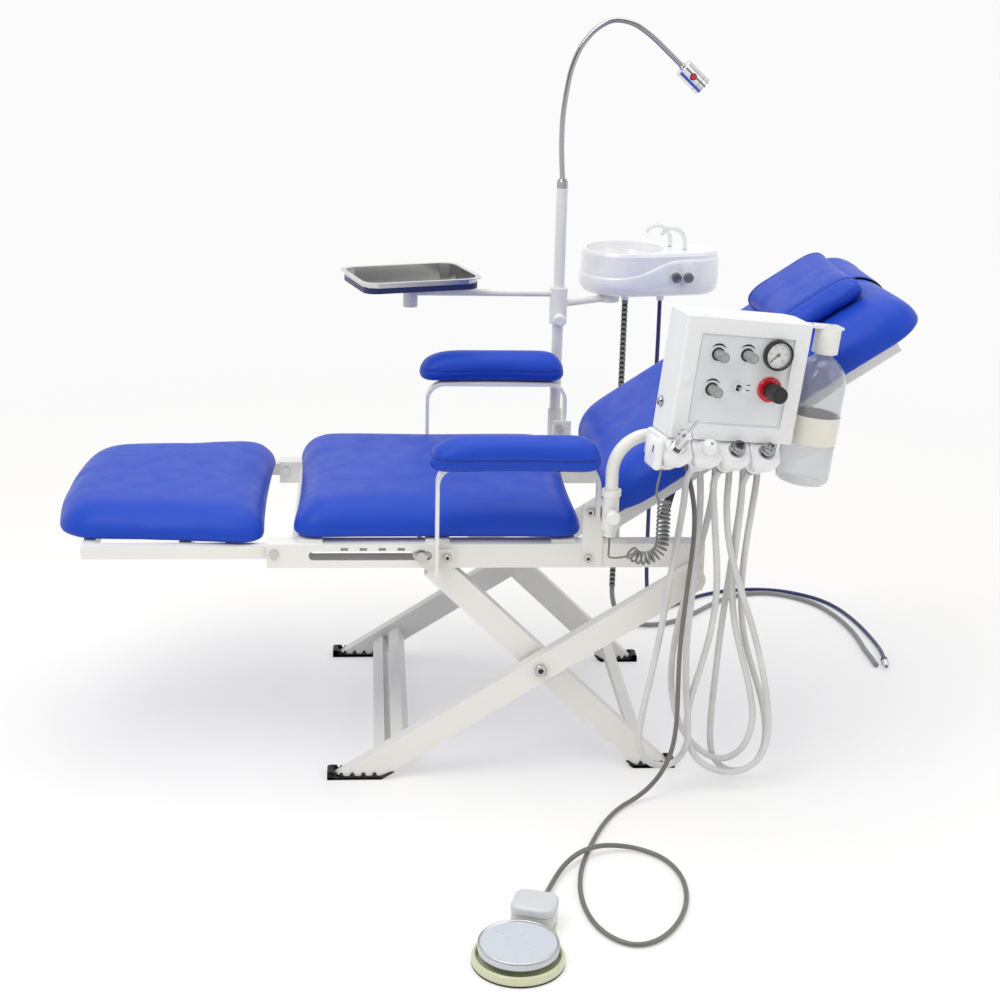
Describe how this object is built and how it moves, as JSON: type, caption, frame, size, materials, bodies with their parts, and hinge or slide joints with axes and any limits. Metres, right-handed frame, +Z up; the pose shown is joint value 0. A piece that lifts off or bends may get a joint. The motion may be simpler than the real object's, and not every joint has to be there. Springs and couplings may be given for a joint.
{
  "type": "portable folding dental chair with delivery unit",
  "caption": "Portable folding dental chair on scissor legs, with a swivelling delivery unit, gooseneck lamp, instrument tray, spittoon, hoses and a foot pedal.",
  "frame": {"origin": "on the floor, at the middle of the part's box without its hoses", "axes": "+X towards the head end, +Y away from the side with the delivery unit, +Z up"},
  "size_m": [1.5717, 1.5277, 1.234],
  "materials": {
    "frame_white": "satin",
    "zinc": "satin",
    "blue_vinyl": "satin",
    "blue_strap": "matte",
    "black_rubber": "matte",
    "black_steel": "satin",
    "case_white": "satin",
    "panel_grey": "satin",
    "holder_white": "gloss",
    "knob_white": "gloss",
    "knob_black": "matte",
    "red_plastic": "gloss",
    "chrome_parts": "polished",
    "gauge_metal": "polished",
    "needle_black": "matte",
    "bottle_plastic": "gloss",
    "hose_grey": "satin",
    "lead_grey": "satin",
    "foot_hose_olive": "satin",
    "navy_rubber": "satin",
    "drain_grey": "satin",
    "pedal_yellow": "satin",
    "pedal_silver": "satin",
    "stainless": "satin",
    "holder_blue": "satin",
    "basin_white": "gloss",
    "clear_plastic": "clear",
    "lamp_silver": "satin"
  },
  "bodies": {
    "seat_frame": {"side_rails": "frame_white", "hinge_pins": "zinc", "seat_cushion": "blue_vinyl", "armrest_pads": "blue_vinyl", "armrest_straps": "frame_white", "unit_bracket": "frame_white", "pole_bracket": "frame_white", "frame_bolts": "zinc", "lamp_pole": "frame_white"},
    "outer_leg_pair": {"outer_legs": "frame_white", "outer_feet": "black_rubber", "pivot_bolts": "zinc"},
    "inner_leg_pair": {"inner_legs": "frame_white", "inner_feet": "black_rubber", "slot_rod": "zinc"},
    "leg_rest": {"legrest_frame": "frame_white", "legrest_cushion": "blue_vinyl"},
    "back_rest": {"backrest_frame": "frame_white", "recline_props": "black_steel", "backrest_cushion": "blue_vinyl", "head_pillow": "blue_vinyl", "head_strap": "blue_strap"},
    "delivery_unit": {"unit_arm": "frame_white", "unit_case": "case_white", "control_panel": "panel_grey", "pressure_gauge": "gauge_metal", "regulator_ring": "red_plastic", "handpiece_holders": "holder_white", "hose_couplings": "chrome_parts", "syringe": "chrome_parts", "bottle_bracket": "knob_white", "water_bottle": "bottle_plastic", "handpiece_hoses": "hose_grey", "syringe_lead": "lead_grey", "foot_hose": "foot_hose_olive", "pedal_base": "pedal_yellow"},
    "flow_knob_one": {"flow_knob_upper_left": "knob_white"},
    "flow_knob_two": {"flow_knob_upper_right": "knob_white"},
    "flow_knob_three": {"flow_knob_lower_left": "knob_white"},
    "toggle": {"toggle_lever": "chrome_parts"},
    "regulator": {"regulator_knob": "knob_black"},
    "needle": {"gauge_needle": "needle_black"},
    "air_button": {"syringe_air_button": "knob_black"},
    "water_button": {"syringe_water_button": "knob_black"},
    "pedal": {"pedal_disc": "pedal_silver"},
    "arm_knob": {"arm_clamp_knob": "knob_white"},
    "pole_knob": {"collar_knob": "knob_white"},
    "lamp": {"lamp_gooseneck": "lamp_silver", "lamp_head": "lamp_silver"},
    "lamp_switch": {"lamp_button": "red_plastic"},
    "tray_swing": {"tray_arm": "frame_white"},
    "tray": {"tray_holder": "holder_blue", "instrument_tray": "stainless"},
    "spittoon": {"spittoon_arm": "frame_white", "spittoon_basin": "basin_white", "water_spouts": "clear_plastic", "drain_hose": "drain_grey", "supply_line": "navy_rubber"},
    "cup_tap": {"cup_valve": "knob_white"},
    "bowl_tap": {"bowl_valve": "knob_white"}
  },
  "joints": [
    {"name": "leg_fold", "type": "hinge", "parent": "seat_frame", "child": "outer_leg_pair", "pos_m": [0.34865, 0.19025, 0.36], "axis": [0, 1, 0], "range_deg": [0, 27.6]},
    {"name": "inner_leg_fold", "type": "hinge", "parent": "outer_leg_pair", "child": "inner_leg_pair", "pos_m": [0.09881, 0.19025, 0.20024], "axis": [0, 1, 0], "range_deg": [-59, 0]},
    {"name": "legrest_fold", "type": "hinge", "parent": "seat_frame", "child": "leg_rest", "pos_m": [-0.34635, 0.19025, 0.398], "axis": [0, 1, 0], "range_deg": [-80, 0]},
    {"name": "backrest_recline", "type": "hinge", "parent": "seat_frame", "child": "back_rest", "pos_m": [0.20165, 0.19025, 0.424], "axis": [0, 1, 0], "range_deg": [-25, 32]},
    {"name": "unit_swivel", "type": "hinge", "parent": "seat_frame", "child": "delivery_unit", "pos_m": [0.20155, -0.11785, 0.519], "axis": [0, 0, 1], "range_deg": [-50, 0]},
    {"name": "flow_one_turn", "type": "hinge", "parent": "delivery_unit", "child": "flow_knob_one", "pos_m": [0.34963, -0.18196, 0.76964], "axis": [0.2079, -0.9781, 0], "range_deg": [0, 300]},
    {"name": "flow_two_turn", "type": "hinge", "parent": "delivery_unit", "child": "flow_knob_two", "pos_m": [0.39747, -0.17179, 0.766], "axis": [0.2079, -0.9781, 0], "range_deg": [0, 300]},
    {"name": "flow_three_turn", "type": "hinge", "parent": "delivery_unit", "child": "flow_knob_three", "pos_m": [0.34237, -0.18351, 0.71413], "axis": [0.2079, -0.9781, 0], "range_deg": [0, 300]},
    {"name": "toggle_flip", "type": "hinge", "parent": "delivery_unit", "child": "toggle", "pos_m": [0.38451, -0.17777, 0.71526], "axis": [0.9717, 0.2065, -0.1149], "range_deg": [-15, 15]},
    {"name": "regulator_turn", "type": "hinge", "parent": "delivery_unit", "child": "regulator", "pos_m": [0.43729, -0.16333, 0.70894], "axis": [0.2079, -0.9781, 0], "range_deg": [-360, 360]},
    {"name": "needle_swing", "type": "hinge", "parent": "delivery_unit", "child": "needle", "pos_m": [0.4465, -0.16137, 0.76423], "axis": [-0.2079, 0.9781, 0], "range_deg": [0, 270]},
    {"name": "air_button_press", "type": "slide", "parent": "delivery_unit", "child": "air_button", "axis": [0.0675, -0.7086, -0.7024], "range_m": [0, 0.002], "stiffness_N_per_m": 800, "springref_m": -0.002},
    {"name": "water_button_press", "type": "slide", "parent": "delivery_unit", "child": "water_button", "axis": [0.0675, -0.7086, -0.7024], "range_m": [0, 0.002], "stiffness_N_per_m": 800, "springref_m": -0.002},
    {"name": "pedal_press", "type": "slide", "parent": "delivery_unit", "child": "pedal", "axis": [0, 0, -1], "range_m": [0, 0.005], "stiffness_N_per_m": 4000, "springref_m": -0.008},
    {"name": "arm_knob_turn", "type": "hinge", "parent": "seat_frame", "child": "arm_knob", "pos_m": [0.20155, -0.13135, 0.49], "axis": [0, -1, 0], "range_deg": [0, 360]},
    {"name": "pole_knob_turn", "type": "hinge", "parent": "seat_frame", "child": "pole_knob", "pos_m": [0.17565, 0.52125, 0.671], "axis": [0, -1, 0], "range_deg": [0, 360]},
    {"name": "lamp_swivel", "type": "hinge", "parent": "seat_frame", "child": "lamp", "pos_m": [0.17565, 0.53825, 0.919], "axis": [0, 0, 1], "range_deg": [-120, 120]},
    {"name": "lamp_switch_press", "type": "slide", "parent": "lamp", "child": "lamp_switch", "axis": [0, 1, 0], "range_m": [0, 0.0015], "stiffness_N_per_m": 800, "springref_m": -0.002},
    {"name": "tray_swing_turn", "type": "hinge", "parent": "seat_frame", "child": "tray_swing", "pos_m": [0.17565, 0.53825, 0.708], "axis": [0, 0, 1], "range_deg": [-20, 75]},
    {"name": "tray_turn", "type": "hinge", "parent": "tray_swing", "child": "tray", "pos_m": [-0.11035, 0.53825, 0.729], "axis": [0, 0, 1], "range_deg": [-90, 90]},
    {"name": "spittoon_swing", "type": "hinge", "parent": "seat_frame", "child": "spittoon", "pos_m": [0.17565, 0.53825, 0.684], "axis": [0, 0, 1], "range_deg": [-10, 40]},
    {"name": "cup_tap_turn", "type": "hinge", "parent": "spittoon", "child": "cup_tap", "pos_m": [0.40765, 0.57025, 0.745], "axis": [0, -1, 0], "range_deg": [0, 270]},
    {"name": "bowl_tap_turn", "type": "hinge", "parent": "spittoon", "child": "bowl_tap", "pos_m": [0.43165, 0.57025, 0.745], "axis": [0, -1, 0], "range_deg": [0, 270]}
  ],
  "couplings": [
    {"joint": "inner_leg_fold", "follows": "leg_fold", "ratio": -2.127}
  ]
}
